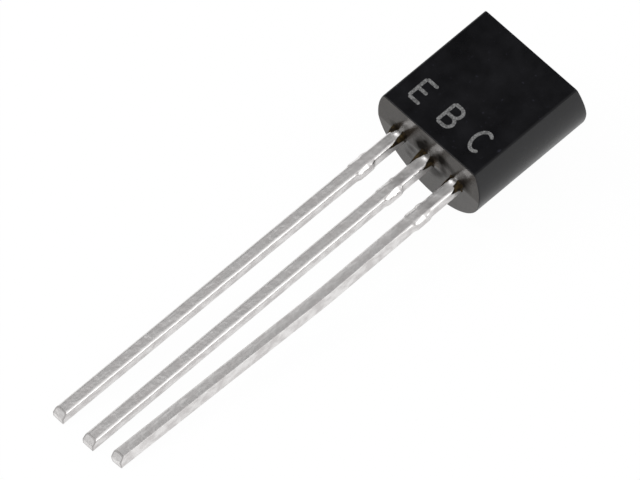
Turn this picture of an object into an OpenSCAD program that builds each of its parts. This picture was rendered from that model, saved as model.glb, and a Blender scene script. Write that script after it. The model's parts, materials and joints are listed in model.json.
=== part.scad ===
// Three-lead plastic transistor in a D-section moulding, lying on its curved back.
// The package is drawn upright in its own frame: +X across the flat, +Y towards the closed end,
// +Z out of the flat, with the lead end of the moulding at Y = 0 and the lead plane at Z = 0.
// lie_down() then rests it on a surface at Z = 0, on its back's lower corner and the lead tips.

/* [Moulding] */
// Width across the round of the moulding
body_w = 4.58; // [4.4:0.02:5.2]
// Height of the moulding, from the lead end to the closed end
body_h = 4.58; // [4.3:0.02:5.3]
// Depth of the moulding, from the flat to the back of the round
body_d = 3.3; // [3.2:0.02:3.9]
// Depth of the leads behind the flat, to their front face
lead_inset = 1.05; // [0.95:0.01:1.2]
// Taper of the end faces in front of the parting line, in degrees
front_draft = 5; // [0:0.5:7]
// Taper of the end faces behind the parting line, in degrees
back_draft = 0.5; // [0:0.5:3]
// Radius where the flat runs into the round
edge_r = 0.12; // [0.05:0.01:0.2]
// Radius where the end faces run into the flat and into the back
end_r = 0.03; // [0.02:0.01:0.1]
// Width of the resin that bled along each side of a lead
bleed_w = 0.07; // [0.03:0.01:0.12]
// Length of that resin, from the lead end of the moulding
bleed_len = 0.5; // [0.2:0.05:0.9]

/* [Leads] */
// Distance between the centres of neighbouring leads
pitch = 1.27; // [1.2:0.01:1.4]
// Width of a lead
lead_w = 0.45; // [0.4:0.01:0.53]
// Thickness of a lead
lead_t = 0.42; // [0.36:0.01:0.5]
// Radius of a lead's two front edges, which the stamping punch drew in
lead_r = 0.09; // [0.05:0.01:0.12]
// Radius of a lead's two back edges, where the sheet was sheared through
burr_r = 0.03; // [0.02:0.01:0.05]
// Length of the emitter, base and collector lead outside the moulding
lead_len = [14.3, 14.3, 14.1]; // [10:0.05:16]
// Sideways lean of each lead from its root, in degrees
lead_lean = [-0.15, 0.15, 0.45]; // [-2:0.05:2]
// Sideways bend of each lead at bend_at, in degrees
lead_bend = [0, 0, -2]; // [-4:0.1:4]
// Distance from the moulding to the start of the bend
bend_at = 5.2; // [4.5:0.1:8]
// Radius of that bend at the lead's centre
bend_r = 30; // [10:1:60]
// Twist of each lead about its own length, in degrees
lead_twist = [0, 0, 12]; // [-20:1:20]
// Length of that twist, which starts where the stubs end
twist_len = 0.8; // [0.4:0.1:1.4]
// Size of the sheared bevel at the front of each tip
tip_bevel = 0.2; // [0.05:0.01:0.3]
// Distance from the moulding to the middle of the trimmed tie-bar stubs
tie_at = 1.65; // [1.2:0.05:2.5]
// Width of the tie bar that joined the leads before trimming
tie_w = 0.6; // [0.3:0.05:0.8]
// Height that each trimmed stub stands out of a lead's side
tie_stub = 0.05; // [0.02:0.01:0.1]

/* [Lead frame inside the moulding] */
// Resin left between the frame and the round side
frame_wall = 0.35; // [0.3:0.01:0.45]
// Gap between neighbouring pieces of the frame
frame_gap = 0.35; // [0.25:0.01:0.45]
// Corner radius of the stamped posts and flag
frame_r = 0.1; // [0.05:0.01:0.12]
// Width of the emitter's bonding post
post_w = 0.85; // [0.7:0.01:0.95]
// Height of the bonding posts
post_h = 0.75; // [0.6:0.01:0.9]
// Width of the base's bonding post
base_post_w = 1.1; // [0.8:0.01:1.2]
// Depth of the base's post inside the moulding
post_at = 0.85; // [0.7:0.01:1]
// Height of the flag that carries the die
flag_h = 1.7; // [1.4:0.01:1.8]
// Width of the neck between the collector lead and its flag
neck_w = 0.9; // [0.7:0.01:1]
// Width across the locking ears in the moulding
ear_w = 0.75; // [0.65:0.01:0.8]
// Height of the locking ears
ear_h = 0.3; // [0.2:0.01:0.4]

/* [Die and bond wires] */
// Side of the square die
die_w = 0.55; // [0.4:0.01:0.7]
// Thickness of the die
die_t = 0.2; // [0.15:0.01:0.25]
// Thickness of the solder under the die
solder_t = 0.03; // [0.02:0.01:0.05]
// Margin of solder round the die
solder_rim = 0.04; // [0.02:0.01:0.08]
// Diameter of a bond wire
wire_d = 0.05; // [0.03:0.005:0.06]
// Height of a bond wire's loop above the frame
wire_rise = 0.55; // [0.4:0.01:0.6]
// Distance from the flag's edge beside the emitter's post to the middle of the die
die_inset = 1.05; // [0.8:0.01:1.3]
// Distance from the middle of the base's post to its bond
bond_off = 0.27; // [0:0.01:0.35]
// Diameter of the ball bonds on the die
ball_d = 0.12; // [0.09:0.01:0.14]
// Height of the ball bonds
ball_h = 0.03; // [0.02:0.01:0.05]
// Spacing of the two ball bonds on the die
pad_gap = 0.22; // [0.18:0.01:0.26]

/* [Hidden] */
$fn = 96;

EMITTER = 0;
BASE = 1;
COLLECTOR = 2;
corner_steps = 4;
bend_steps = 6;
twist_steps = 4;
hair = 0.0002;

// Moulding: the planes of the flat and of the back, and the centre of the round between them
round_r = body_w/2;
flat_z = lead_inset + lead_t/2;
back_z = flat_z - body_d;
round_z = back_z + round_r;
front_taper = flat_z*tan(front_draft);
back_taper = -back_z*tan(back_draft);

// Frame: edges of the posts and of the flag
root_len = 0.5;
frame_edge = round_r - frame_wall;
emitter_post_x = [-frame_edge, -frame_edge + post_w];
flag_x = [emitter_post_x[1] + frame_gap, pitch + neck_w/2];
flag_y = post_at + post_h + frame_gap;
ear_at = 0.4;
face_z = lead_t/2;

// Leads: the depths between which their sides are flat, and where the stubs end
side_z = [burr_r - face_z, face_z - lead_r];
twist_at = tie_at + tie_w/2 + tie_stub;

// Die: its middle on the flag, its top, and the ends of the wires
die_at = [flag_x[0] + die_inset, flag_y + flag_h/2];
die_z = face_z + solder_t;
die_top = die_z + die_t;
emitter_pad = die_at + [-pad_gap/2, pad_gap/2];
base_pad = die_at + [pad_gap/2, -pad_gap/2];
emitter_bond = [(emitter_post_x[0] + emitter_post_x[1])/2, flag_y + post_h/2];
base_bond = [bond_off, post_at + post_h/2];

// Rest: the angle at which the rounded lower corner of the back and the lowest tip touch one
// plane, the lift that brings that plane to Z = 0, and how far the part then reaches along Y
corner_y = end_r/cos(back_draft) - (back_z + end_r)*tan(back_draft);
corner_z = back_z + end_r;
tilt = min([for (i = [EMITTER, BASE, COLLECTOR]) tilt_on(i)]);
lift = end_r - corner_y*sin(tilt) - corner_z*cos(tilt);
tip_y = -max(lead_len)*cos(tilt) - (lead_t/2 - tip_bevel)*sin(tilt);
end_y = max(body_h*cos(tilt), (body_h - corner_y)*cos(tilt) - corner_z*sin(tilt) + end_r);

// Depth of a twisted section's lowest corner, and the tilt at which that lead's tip touches
function tip_depth(i) =
    burr_r + (lead_t/2 - burr_r)*cos(lead_twist[i]) + (lead_w/2 - burr_r)*sin(abs(lead_twist[i]));
function tilt_on(i) =
    let (run = lead_len[i] + corner_y, drop = -corner_z - tip_depth(i))
    atan(drop/run) + asin(end_r/norm([run, drop]));

function lead_x(i) = (i - 1)*pitch;
function unit(v) = v/norm(v);

// Moves the upright package to where it comes to rest, centred on the origin
module lie_down() {
    translate([0, -(tip_y + end_y)/2, lift])
        rotate([tilt, 0, 0])
            children();
}

// Convex outline, counter-clockwise, with the listed corners rounded to radius r by true arcs
module rounded(points, corners, r) {
    count = len(points);
    difference() {
        polygon(points);
        for (i = corners)
            let (here = points[i],
                 before = unit(points[(i + count - 1)%count] - here),
                 after = unit(points[(i + 1)%count] - here),
                 half = acos(before*after)/2)
            corner_waste(here, here + before*r/tan(half), here + after*r/tan(half),
                         here + unit(before + after)*r/sin(half), r);
    }
}

// What a fillet takes off a corner, from its centre and the feet where it meets the two sides.
// The fillet's circle reaches a hair past both sides, so that it crosses them cleanly.
module corner_waste(corner, foot_a, foot_b, centre, r) {
    difference() {
        polygon([centre, 2*foot_a - centre, 1.5*corner - 0.5*centre, 2*foot_b - centre]);
        translate(centre) circle(r + hair);
    }
}

function box_points(x, y) = [[x[0], y[0]], [x[1], y[0]], [x[1], y[1]], [x[0], y[1]]];

// Heading of a lead at the distance s from its root, in degrees from -Y towards +X
function heading(i, s) =
    s <= 0 ? 0
    : s <= bend_at || bend_len(i) == 0 ? lead_lean[i]
    : lead_lean[i] + lead_bend[i]*min(1, (s - bend_at)/bend_len(i));

function bend_len(i) = bend_r*abs(lead_bend[i])*PI/180;

// Turn of a lead's section about its length at the distance s from its root
function twist(i, s) = lead_twist[i]*max(0, min(1, (s - twist_at)/twist_len));

// Way covered on a straight stretch, and on an arc from heading a to heading b
function ahead(s, a) = s*[sin(a), -cos(a)];
function round_arc(s, a, b) =
    a == b ? ahead(s, a) : s/((b - a)*PI/180)*[cos(a) - cos(b), sin(a) - sin(b)];

// Place of a lead's centre line at the distance s from its root, negative inside the moulding
function place(i, s) =
    s <= bend_at ? ahead(s, heading(i, s))
    : s <= bend_at + bend_len(i)
        ? place(i, bend_at) + round_arc(s - bend_at, lead_lean[i], heading(i, s))
        : place(i, bend_at + bend_len(i)) + ahead(s - bend_at - bend_len(i), heading(i, s));

// Section of a lead: a rectangle with rounded corners, as [sideways, out of the lead plane]
lead_section = [for (corner = [0:3], k = [0:corner_steps])
    let (a = 90*corner + 90*k/corner_steps,
         r = corner < 2 ? lead_r : burr_r,
         x = (corner == 0 || corner == 3 ? 1 : -1)*(lead_w/2 - r),
         z = (corner < 2 ? 1 : -1)*(lead_t/2 - r))
    [x + r*cos(a), z + r*sin(a)]];

// One ring of a lead's skin at the distance s from its root
function ring(i, s) =
    let (p = place(i, s), a = heading(i, s), t = twist(i, s))
    [for (q = lead_section)
        let (across = q[0]*cos(t) - q[1]*sin(t))
        [p[0] + across*cos(a), p[1] + across*sin(a), q[0]*sin(t) + q[1]*cos(t)]];

// Closed skin through a list of rings that have the same number of points
module skin(rings) {
    n = len(rings[0]);
    last = (len(rings) - 1)*n;
    polyhedron(
        points = [for (r = rings) each r],
        faces = concat(
            [[for (k = [0:n - 1]) k]],
            [for (j = [0:len(rings) - 2], k = [0:n - 1])
                [j*n + (k + 1)%n, j*n + k, (j + 1)*n + k, (j + 1)*n + (k + 1)%n]],
            [[for (k = [0:n - 1]) last + n - 1 - k]]));
}

// Steps over a stretch that starts at the distance from, or none where nothing changes there
function stretch(from, size, steps, change) =
    change == 0 ? [from] : [for (k = [0:steps]) from + size*k/steps];

// Lead from inside the moulding to its tip, with its lean, its twist, its bend, its stubs and its
// sheared tip
module shank(i) {
    end = lead_len[i];
    stations = concat([-root_len, 0],
                      stretch(twist_at, twist_len, twist_steps, lead_twist[i]),
                      stretch(bend_at, bend_len(i), bend_steps, lead_bend[i]),
                      [end]);
    tip_place = place(i, end);
    translate([lead_x(i), 0, 0]) {
        difference() {
            skin([for (s = stations) ring(i, s)]);
            translate([tip_place[0], tip_place[1], 0])
                rotate([0, 0, heading(i, end)])
                    rotate([0, -twist(i, end), 0])
                        translate([0, 0, face_z])
                            rotate([45, 0, 0])
                                cube([2*lead_w, tip_bevel*sqrt(2), tip_bevel*sqrt(2)], center = true);
        }
        rotate([0, 0, lead_lean[i]])
            stub_pair();
    }
}

// What is left of the tie bar on both sides of a lead after trimming, sheared flat at its ends
module stub_pair() {
    half = lead_w/2 + tie_stub;
    foot = lead_w/2 - lead_r;
    translate([0, -tie_at, side_z[0]])
        linear_extrude(side_z[1] - side_z[0])
            polygon([[-foot, -tie_w/2 - tie_stub], [foot, -tie_w/2 - tie_stub],
                     [half, -tie_w/2], [half, tie_w/2],
                     [foot, tie_w/2 + tie_stub], [-foot, tie_w/2 + tie_stub],
                     [-half, tie_w/2], [-half, -tie_w/2]]);
}

// Flat piece of the frame between two x and two y values
module plate(x, y) {
    translate([0, 0, -lead_t/2])
        linear_extrude(lead_t)
            rounded(box_points(x, y), [0:3], frame_r);
}

// Narrow riser of the frame from the root of a lead up to the given height
module riser(i, top) {
    translate([lead_x(i) - lead_w/2, root_len/2, -lead_t/2])
        cube([lead_w, top - root_len/2, lead_t]);
}

// Ears that lock a lead into the resin
module ears(i) {
    plate([lead_x(i) - ear_w/2, lead_x(i) + ear_w/2], [ear_at, ear_at + ear_h]);
}

module emitter_frame() {
    shank(EMITTER);
    riser(EMITTER, flag_y + post_h/2);
    ears(EMITTER);
    plate(emitter_post_x, [flag_y - frame_gap, flag_y + post_h]);
}

module base_frame() {
    shank(BASE);
    riser(BASE, post_at + post_h/2);
    plate([-base_post_w/2, base_post_w/2], [post_at, post_at + post_h]);
}

module collector_frame() {
    shank(COLLECTOR);
    riser(COLLECTOR, flag_y);
    ears(COLLECTOR);
    plate([pitch - neck_w/2, pitch + neck_w/2], [post_at + ear_h, flag_y + flag_h]);
    plate(flag_x, [flag_y, flag_y + flag_h]);
}

module die_block() {
    translate([die_at[0] - die_w/2, die_at[1] - die_w/2, die_z])
        cube([die_w, die_w, die_t]);
}

module solder_pad() {
    side = die_w + 2*solder_rim;
    translate([die_at[0] - side/2, die_at[1] - side/2, face_z])
        cube([side, side, solder_t]);
}

// Looped wire from a pad on the die down to a point on the frame, with its ball on the die.
// The loop is one arc in an upright plane. It passes through the pad, rises to wire_rise above
// the frame and comes down on the bond, and both its ends run on into what they are bonded to.
module bond_wire(pad, bond) {
    span = norm(bond - pad);
    along = unit(bond - pad);
    fall = die_top - face_z;
    low = wire_rise - fall;
    near = (sqrt(low*wire_rise*(span*span + fall*fall)) - span*low)/fall;
    loop_r = (near*near + low*low)/(2*low);
    top = pad + along*near;
    extra = 2*wire_d/loop_r*180/PI;
    from_pad = asin(near/loop_r) + extra;
    to_bond = asin((span - near)/loop_r) + extra;
    difference() {
        translate([top[0], top[1], face_z + wire_rise - loop_r])
            rotate([90, 0, atan2(along[1], along[0])])
                rotate([0, 0, 90 - to_bond])
                    rotate_extrude(angle = from_pad + to_bond)
                        translate([loop_r, 0])
                            circle(d = wire_d, $fn = 24);
        die_block();
        solder_pad();
        translate([-frame_edge, 0, -lead_t/2])
            cube([2*frame_edge, body_h, lead_t]);
    }
    translate([pad[0], pad[1], die_top])
        cylinder(d = ball_d, h = ball_h, $fn = 32);
}

module emitter_bond_wire() {
    bond_wire(emitter_pad, emitter_bond);
}

module base_bond_wire() {
    bond_wire(base_pad, base_bond);
}

// D-shaped section of the moulding in X and Z, its two corners rounded by true arcs
module d_section() {
    edge_x = sqrt(pow(round_r, 2) - pow(flat_z - round_z, 2));
    arc_z = flat_z - edge_r;
    arc_x = sqrt(pow(round_r - edge_r, 2) - pow(arc_z - round_z, 2));
    meet = [arc_x, arc_z - round_z]*round_r/(round_r - edge_r) + [0, round_z];
    difference() {
        translate([0, round_z]) circle(round_r, $fn = 180);
        translate([-body_w, flat_z]) square([2*body_w, body_w]);
        for (side = [0, 1])
            mirror([side, 0, 0])
                corner_waste([edge_x, flat_z], [arc_x, flat_z], meet, [arc_x, arc_z], edge_r);
    }
}

// Side outline of the moulding in Z and Y. Its end faces taper from the parting line, which
// stays sharp, and its other corners are rounded.
module taper_outline() {
    rounded([[back_z, back_taper], [0, 0], [flat_z, front_taper],
             [flat_z, body_h - front_taper], [0, body_h], [back_z, body_h - back_taper]],
            [0, 2, 3, 5], end_r);
}

module moulding() {
    intersection() {
        translate([0, body_h, 0])
            rotate([90, 0, 0])
                linear_extrude(body_h)
                    d_section();
        translate([-body_w/2, 0, 0])
            rotate([0, 90, 0])
                mirror([1, 0, 0])
                    linear_extrude(body_w)
                        taper_outline();
    }
}

// Thin resin that bled out along both sides of a lead
module bleed(i) {
    half = lead_w/2 + bleed_w;
    foot = front_taper/2;
    translate([lead_x(i), 0, side_z[0]])
        linear_extrude(side_z[1] - side_z[0])
            polygon([[-half, foot], [-half, -bleed_len/2], [-lead_w/2, -bleed_len],
                     [lead_w/2, -bleed_len], [half, -bleed_len/2], [half, foot]]);
}

module body() {
    color([0.08, 0.08, 0.09])
        lie_down()
            difference() {
                union() {
                    moulding();
                    for (i = [EMITTER, BASE, COLLECTOR])
                        bleed(i);
                }
                emitter_frame();
                base_frame();
                collector_frame();
                die_block();
                solder_pad();
                emitter_bond_wire();
                base_bond_wire();
            }
}

module emitter_lead() {
    color([0.78, 0.77, 0.75])
        lie_down()
            emitter_frame();
}

module base_lead() {
    color([0.78, 0.77, 0.75])
        lie_down()
            base_frame();
}

module collector_lead() {
    color([0.78, 0.77, 0.75])
        lie_down()
            collector_frame();
}

module die() {
    color([0.35, 0.36, 0.42])
        lie_down()
            die_block();
}

module die_solder() {
    color([0.6, 0.6, 0.6])
        lie_down()
            solder_pad();
}

module emitter_wire() {
    color([0.85, 0.68, 0.25])
        lie_down()
            emitter_bond_wire();
}

module base_wire() {
    color([0.85, 0.68, 0.25])
        lie_down()
            base_bond_wire();
}

body();
emitter_lead();
base_lead();
collector_lead();
die();
die_solder();
emitter_wire();
base_wire();
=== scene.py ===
import json
import math

import bpy
import numpy as np
from bpy.props import FloatProperty, FloatVectorProperty, PointerProperty
from mathutils import Matrix, Vector


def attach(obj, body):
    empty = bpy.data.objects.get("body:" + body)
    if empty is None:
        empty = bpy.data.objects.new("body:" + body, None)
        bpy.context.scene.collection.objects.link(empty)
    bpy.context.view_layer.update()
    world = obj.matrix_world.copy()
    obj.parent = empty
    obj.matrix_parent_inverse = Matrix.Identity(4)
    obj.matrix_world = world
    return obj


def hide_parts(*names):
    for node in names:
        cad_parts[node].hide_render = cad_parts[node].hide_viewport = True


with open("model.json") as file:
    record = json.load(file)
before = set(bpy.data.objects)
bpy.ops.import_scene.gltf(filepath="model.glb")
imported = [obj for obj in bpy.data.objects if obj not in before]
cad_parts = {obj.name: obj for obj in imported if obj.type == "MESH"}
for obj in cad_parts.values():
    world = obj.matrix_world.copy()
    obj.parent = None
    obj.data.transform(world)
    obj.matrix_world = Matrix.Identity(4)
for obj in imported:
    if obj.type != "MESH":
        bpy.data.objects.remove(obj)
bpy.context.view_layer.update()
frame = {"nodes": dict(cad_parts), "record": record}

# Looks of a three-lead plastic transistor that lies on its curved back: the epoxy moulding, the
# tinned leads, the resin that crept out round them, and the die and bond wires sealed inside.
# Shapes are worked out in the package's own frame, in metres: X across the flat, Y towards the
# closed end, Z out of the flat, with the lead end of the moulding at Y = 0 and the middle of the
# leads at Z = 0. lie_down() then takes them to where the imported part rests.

bl_info = {
    "name": "Three-lead transistor",
    "version": (1, 0, 0),
    "blender": (4, 5, 0),
    "location": "View3D > Sidebar > Transistor",
    "description": "Moulding, tinned leads, crept resin and studio of a small plastic transistor",
    "category": "Object",
}

MM = 0.001
FLAT = next(mount for mount in frame["record"]["mounts"] if mount["name"] == "flat")
TILT = math.atan2(-FLAT["axis"][1], FLAT["axis"][2])
# dark stains on the lead end: x, z and radius in package millimetres, and strength
STAINS = (
    (-0.40, 0.28, 0.19, 0.9), (-0.28, 0.55, 0.20, 1.0), (-0.12, 0.84, 0.15, 0.9),
    (0.70, 0.55, 0.17, 1.0), (0.50, 0.70, 0.12, 0.7), (1.60, 0.30, 0.20, 0.9),
    (1.72, 0.66, 0.16, 0.7), (1.06, 0.44, 0.12, 0.6), (-1.46, 0.20, 0.18, 0.8),
    (-0.78, -0.30, 0.13, 0.6), (-0.92, -0.74, 0.13, 0.5), (0.30, -0.46, 0.14, 0.5),
    (0.10, -0.66, 0.13, 0.4))
LEADS = ("emitter", "base", "collector")
EMITTER, BASE, COLLECTOR = range(3)


# ---------------------------------------------------------------- sizes and colours

def srgb(code):
    """Linear RGB of an sRGB colour such as "#8A8C90", by the sRGB curve."""
    channels = [int(code[i:i + 2], 16) / 255 for i in (1, 3, 5)]
    return tuple(c / 12.92 if c <= 0.04045 else ((c + 0.055) / 1.055) ** 2.4 for c in channels)


def length(name, description, default):
    """A length, given in millimetres and kept in metres."""
    return FloatProperty(name=name, description=description, default=default * MM,
                         subtype="DISTANCE", unit="LENGTH", precision=5)


def lengths(name, description, *default):
    """A length for each lead or axis, given in millimetres and kept in metres."""
    return FloatVectorProperty(name=name, description=description, size=len(default),
                               default=[d * MM for d in default], unit="LENGTH", precision=5)


def angle(name, description, default):
    """An angle, given in degrees and kept in radians."""
    return FloatProperty(name=name, description=description, default=math.radians(default),
                         subtype="ANGLE", unit="ROTATION")


def angles(name, description, *default):
    """An angle for each lead, given in degrees and kept in radians."""
    return FloatVectorProperty(name=name, description=description, size=len(default),
                               default=[math.radians(d) for d in default], unit="ROTATION")


def share(name, description, default):
    """A share from 0 to 1."""
    return FloatProperty(name=name, description=description, default=default, min=0, max=1,
                         subtype="FACTOR")


def colour(name, description, code):
    """A colour, given as an sRGB code and kept as linear RGB."""
    return FloatVectorProperty(name=name, description=description, default=srgb(code),
                               subtype="COLOR", min=0, max=1)


def shares(name, description, *default):
    """A share from 0 to 1 for each lead."""
    return FloatVectorProperty(name=name, description=description, size=len(default),
                               default=default, min=0, max=1)


def stage_place(name, description, *default):
    """A place on the stage, in metres."""
    return FloatVectorProperty(name=name, description=description, default=default,
                               subtype="TRANSLATION", unit="LENGTH")


def lamp_power(name, default):
    """Power of a lamp, in watts."""
    return FloatProperty(name=name, description="Power of this lamp", default=default, min=0,
                         unit="POWER", precision=4)


class MouldingProps(bpy.types.PropertyGroup):
    """Sizes, gloss and resins of the moulding"""
    width: length("Width", "Width across the round", 4.58)
    height: length("Height", "From the lead end to the closed end", 4.58)
    depth: length("Depth", "From the flat to the back of the round", 3.3)
    lead_inset: length("Lead inset", "From the flat to the front face of the leads", 1.05)
    front_draft: angle("Front draft", "Taper of the end faces in front of the leads", 5)
    back_draft: angle("Back draft", "Taper of the end faces behind the leads", 0.5)
    edge: length("Flat's edge radius", "Radius where the flat runs into the round", 0.12)
    end_edge: length("End edge radius", "Radius round the two end faces", 0.03)
    gate: lengths("Gate", "Middle of the gate's remains on the lead end, in X and Z", 0.36, 0.06)
    gate_size: length("Gate radius", "Radius of the ring that was torn out there", 0.42)
    gate_depth: length("Gate depth", "Depth of that ring", 0.007)
    knob: length("Gate knob", "Height of the knob left inside the ring", 0.012)
    # the two sheens grade the moulding's specular level by height as a painted reflection shade: it
    # rises up the round from its sides, as if the lower round mirrored shadowed floor
    flat_sheen: share("Flat's sheen", "Specular level of the flat and of the back", 0.20)
    painted_round_sheen: share("Round's sheen", "Specular level of the round just below the flat", 0.42)
    resin: colour("Resin", "Colour of the black moulding resin", "#07070A")
    end_resin: colour("End resin", "Colour of the resin on the smoother end faces", "#29241F")


class CreptProps(bpy.types.PropertyGroup):
    """Reach, thickness and colours of the resin that crept out round the leads"""
    tone: colour("Resin", "Colour of the thin resin round the leads", "#1E160C")
    amber: colour("Amber", "Colour of that resin's lighter patches", "#40341F")
    film: length("Film", "Least thickness of that resin on a lead at the moulding", 0.005)
    left_film: lengths("Left films", "Thickness on each lead's left", 0.10, 0.11, 0.05)
    right_film: lengths("Right films", "Thickness on each lead's right", 0.06, 0.05, 0.05)
    near: length("Front reach", "How far it runs along the front and back of a lead", 0.02)
    bow: length("Bow", "How much further at the edges of the front", 0.15)
    left_reach: lengths("Left reaches", "How far it runs on each lead's left", 0.36, 0.62, 0.46)
    right_reach: lengths("Right reaches", "How far it runs on each lead's right", 0.66, 0.42, 0.38)
    left_turn: angle("Left turn", "Direction of the left run from X towards Z", 155)
    right_turn: angle("Right turn", "Direction of the right run from X towards Z", 28)
    run_width: angle("Run width", "Half the angle that a run takes round a lead", 28)
    foot: length("Foot", "How far it spreads over the end face round a lead", 0.03)
    foot_film: length("Foot film", "Thickness of the resin on the end face", 0.006)


class LeadProps(bpy.types.PropertyGroup):
    """Sizes and tin of the leads, with what forming and trimming left on them"""
    pitch: length("Pitch", "Between the middles of neighbouring leads", 1.27)
    width: length("Width", "Width of a lead", 0.45)
    thickness: length("Thickness", "Thickness of a lead", 0.42)
    edge: length("Front edge radius", "Radius of a lead's two front edges", 0.09)
    burr: length("Back edge radius", "Radius of a lead's two back edges", 0.03)
    reach: lengths("Lengths", "Length of each lead outside the moulding", 14.3, 14.3, 14.1)
    lean: angles("Leans", "Sideways lean of each lead from its root", -0.15, 0.15, 0.45)
    bend: angles("Bends", "Sideways bend of each lead", 0, 0, -2)
    bend_at: length("Bend start", "From the moulding to the start of the bend", 5.2)
    bend_radius: length("Bend radius", "Radius of the bend at a lead's middle", 30)
    twist: angles("Twists", "Twist of each lead about its own length", 0, 0, 12)
    twist_length: length("Twist length", "Length of the twist, from the end of the stubs", 0.8)
    shear_line: length("Shear line", "Width of the dark line round a sheared tip", 0.03)
    tip_bevel: length("Tip bevel", "Size of the bevel that shearing leaves at the tip", 0.2)
    tip_length: length("Tip length", "Length over which that bevel draws the tip back", 0.4)
    stub_at: length("Stub place", "From the moulding to the trimmed tie-bar stubs", 1.65)
    stub_length: length("Stub length", "Length of a stub along the lead", 0.6)
    stub_height: length("Stub height", "How far a stub stands out of a lead's side", 0.05)
    stub_slope: length("Stub slope", "Length of the slope at either end of a stub", 0.2)
    cut_start: lengths("Cut starts", "From the start of the facet that trimming left on each "
                       "stub to the stub's middle", 0.18, 0.3, 0.16)
    cut_depth: lengths("Cut depths", "Depth of that facet below the edge", 0.044, 0.054, 0.042)
    cut_lean: share("Cut lean", "How fast that facet runs out towards the tip", 0.08)
    roll_off: length("Roll-off", "Drop of a twisted lead's front towards its right edge", 0.02)
    clamp: shares("Clamp marks", "How much the trimming clamp dulled each lead", 0, 0.8, 0.8)
    clamp_at: length("Clamp place", "From the moulding to the middle of that mark", 1.22)
    clamp_length: length("Clamp length", "Half the length of that mark", 0.28)
    bead_at: length("Bead place", "From the moulding to the bead that ends the tin", 0.09)
    bead_side: lengths("Bead sides", "How far right of each lead's middle it lies", 0.03, 0, -0.08)
    bead_length: length("Bead radius", "Half the length and the width of that bead", 0.11)
    bead_height: length("Bead height", "Height of that bead", 0.03)
    # the front by the moulding is smoother, and its tin is painted lighter there as a highlight
    smooth_highlit_root: length("Smooth root", "Length of the smoother tin by the moulding", 0.5)
    tin: colour("Tin", "Colour of the tin plating", "#E4E2E1")
    dull_tin: colour("Dull tin", "Colour of the duller patches of tin", "#CCC9C8")


class FrameProps(bpy.types.PropertyGroup):
    """Sizes of the frame inside the moulding, and colours of the die and its bonds"""
    wall: length("Wall", "Resin left between the frame and the round side", 0.35)
    gap: length("Gap", "Gap between neighbouring pieces of the frame", 0.35)
    corner: length("Corner radius", "Corner radius of the stamped posts and flag", 0.1)
    post_w: length("Post width", "Width of the emitter's bonding post", 0.85)
    post_h: length("Post height", "Height of the bonding posts", 0.75)
    base_post_w: length("Base post width", "Width of the base's bonding post", 1.1)
    post_at: length("Base post place", "Depth of the base's post inside the moulding", 0.85)
    flag_h: length("Flag height", "Height of the flag that carries the die", 1.7)
    neck_w: length("Neck width", "Width between the collector lead and its flag", 0.9)
    ear_w: length("Ear width", "Width across the locking ears", 0.75)
    ear_h: length("Ear height", "Height of the locking ears", 0.3)
    ear_at: length("Ear place", "Depth of the locking ears inside the moulding", 0.4)
    silicon: colour("Silicon", "Colour of the polished die", "#5B6478")
    etched: colour("Etched silicon", "Colour of the die where its layers were etched", "#3A4150")
    solder: colour("Solder", "Colour of the solder under the die", "#9C9C9A")
    gold: colour("Gold", "Colour of the bond wires", "#E3C16A")


class LetterProps(bpy.types.PropertyGroup):
    """Size, place and colour of the terminal letters"""
    height: length("Height", "Height of a terminal letter", 0.8)
    width: length("Width", "Width of a terminal letter", 0.48)
    at: length("Place", "From the lead end to the foot of the letters", 0.68)
    stroke: length("Stroke", "Width of a letter's strokes", 0.12)
    lift: length("Lift", "Height of the foamed resin above the flat", 0.003)
    mark: colour("Mark", "Colour of the laser marking", "#6E6E6E")


class StageProps(bpy.types.PropertyGroup):
    """Camera, floor, walls and lamps of the studio"""
    target: lengths("Target", "Point that the camera looks at", -0.68116, 0.84227, 0.59939)
    distance: FloatProperty(name="Distance", description="From the camera to its target",
                            default=0.4, subtype="DISTANCE", unit="LENGTH")
    azimuth: angle("Azimuth", "Camera's turn from the lead end towards the right", 44.4722)
    elevation: angle("Elevation", "Camera's height above the floor", 53.9497)
    roll: angle("Roll", "Camera's turn about its own axis", 3.2219)
    lens: FloatProperty(name="Lens", description="Focal length on the camera's sensor",
                        default=730.78, subtype="DISTANCE_CAMERA", unit="CAMERA")
    sensor: FloatProperty(name="Sensor", description="Width of the camera's sensor",
                          default=36, subtype="DISTANCE_CAMERA", unit="CAMERA")
    floor: colour("Floor", "Colour of the floor", "#F4F4F4")
    floor_size: length("Floor size", "Half the side of the square floor", 1000)
    floor_glow: share("Floor's own white", "Share of the floor that is seen at plain white", 0.97)
    floor_mirrored: share("Mirrored white", "How much of that share reflections see", 0.7)
    card_place: stage_place("Black card", "Direction of the black card", -0.52, 0.21, 0.83)
    card_edge: angle("Card's edge", "Half the angle that the black card covers", 8)
    card_soft: angle("Card's soft edge", "Angle over which the card fades into the walls", 24)
    card: share("Card's grey", "Brightness of the black card", 0.03)
    low_wall: share("Low wall's grey", "Brightness of the wall by the floor on the lead side", 0.3)
    lamp_size: length("Lamp size", "Side of the square soft lamps", 160)
    key_place: stage_place("Key lamp", "Middle of the key lamp", -0.15, -0.15, 0.28)
    key_power: lamp_power("Key lamp's power", 0.40)
    side_place: stage_place("Side lamp", "Middle of the side lamp", 0.32, 0.10, 0.17)
    side_power: lamp_power("Side lamp's power", 0.12)


def settings(name):
    """The group of sizes and colours with this name."""
    return getattr(bpy.context.scene, "transistor_" + name)


# ---------------------------------------------------------------- shapes

def turned(points):
    """Points turned about X by the tilt of the flat."""
    x, y, z = np.moveaxis(np.asarray(points, float), -1, 0)
    c, s = math.cos(TILT), math.sin(TILT)
    return np.stack([x, y * c - z * s, y * s + z * c], axis=-1)


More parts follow.
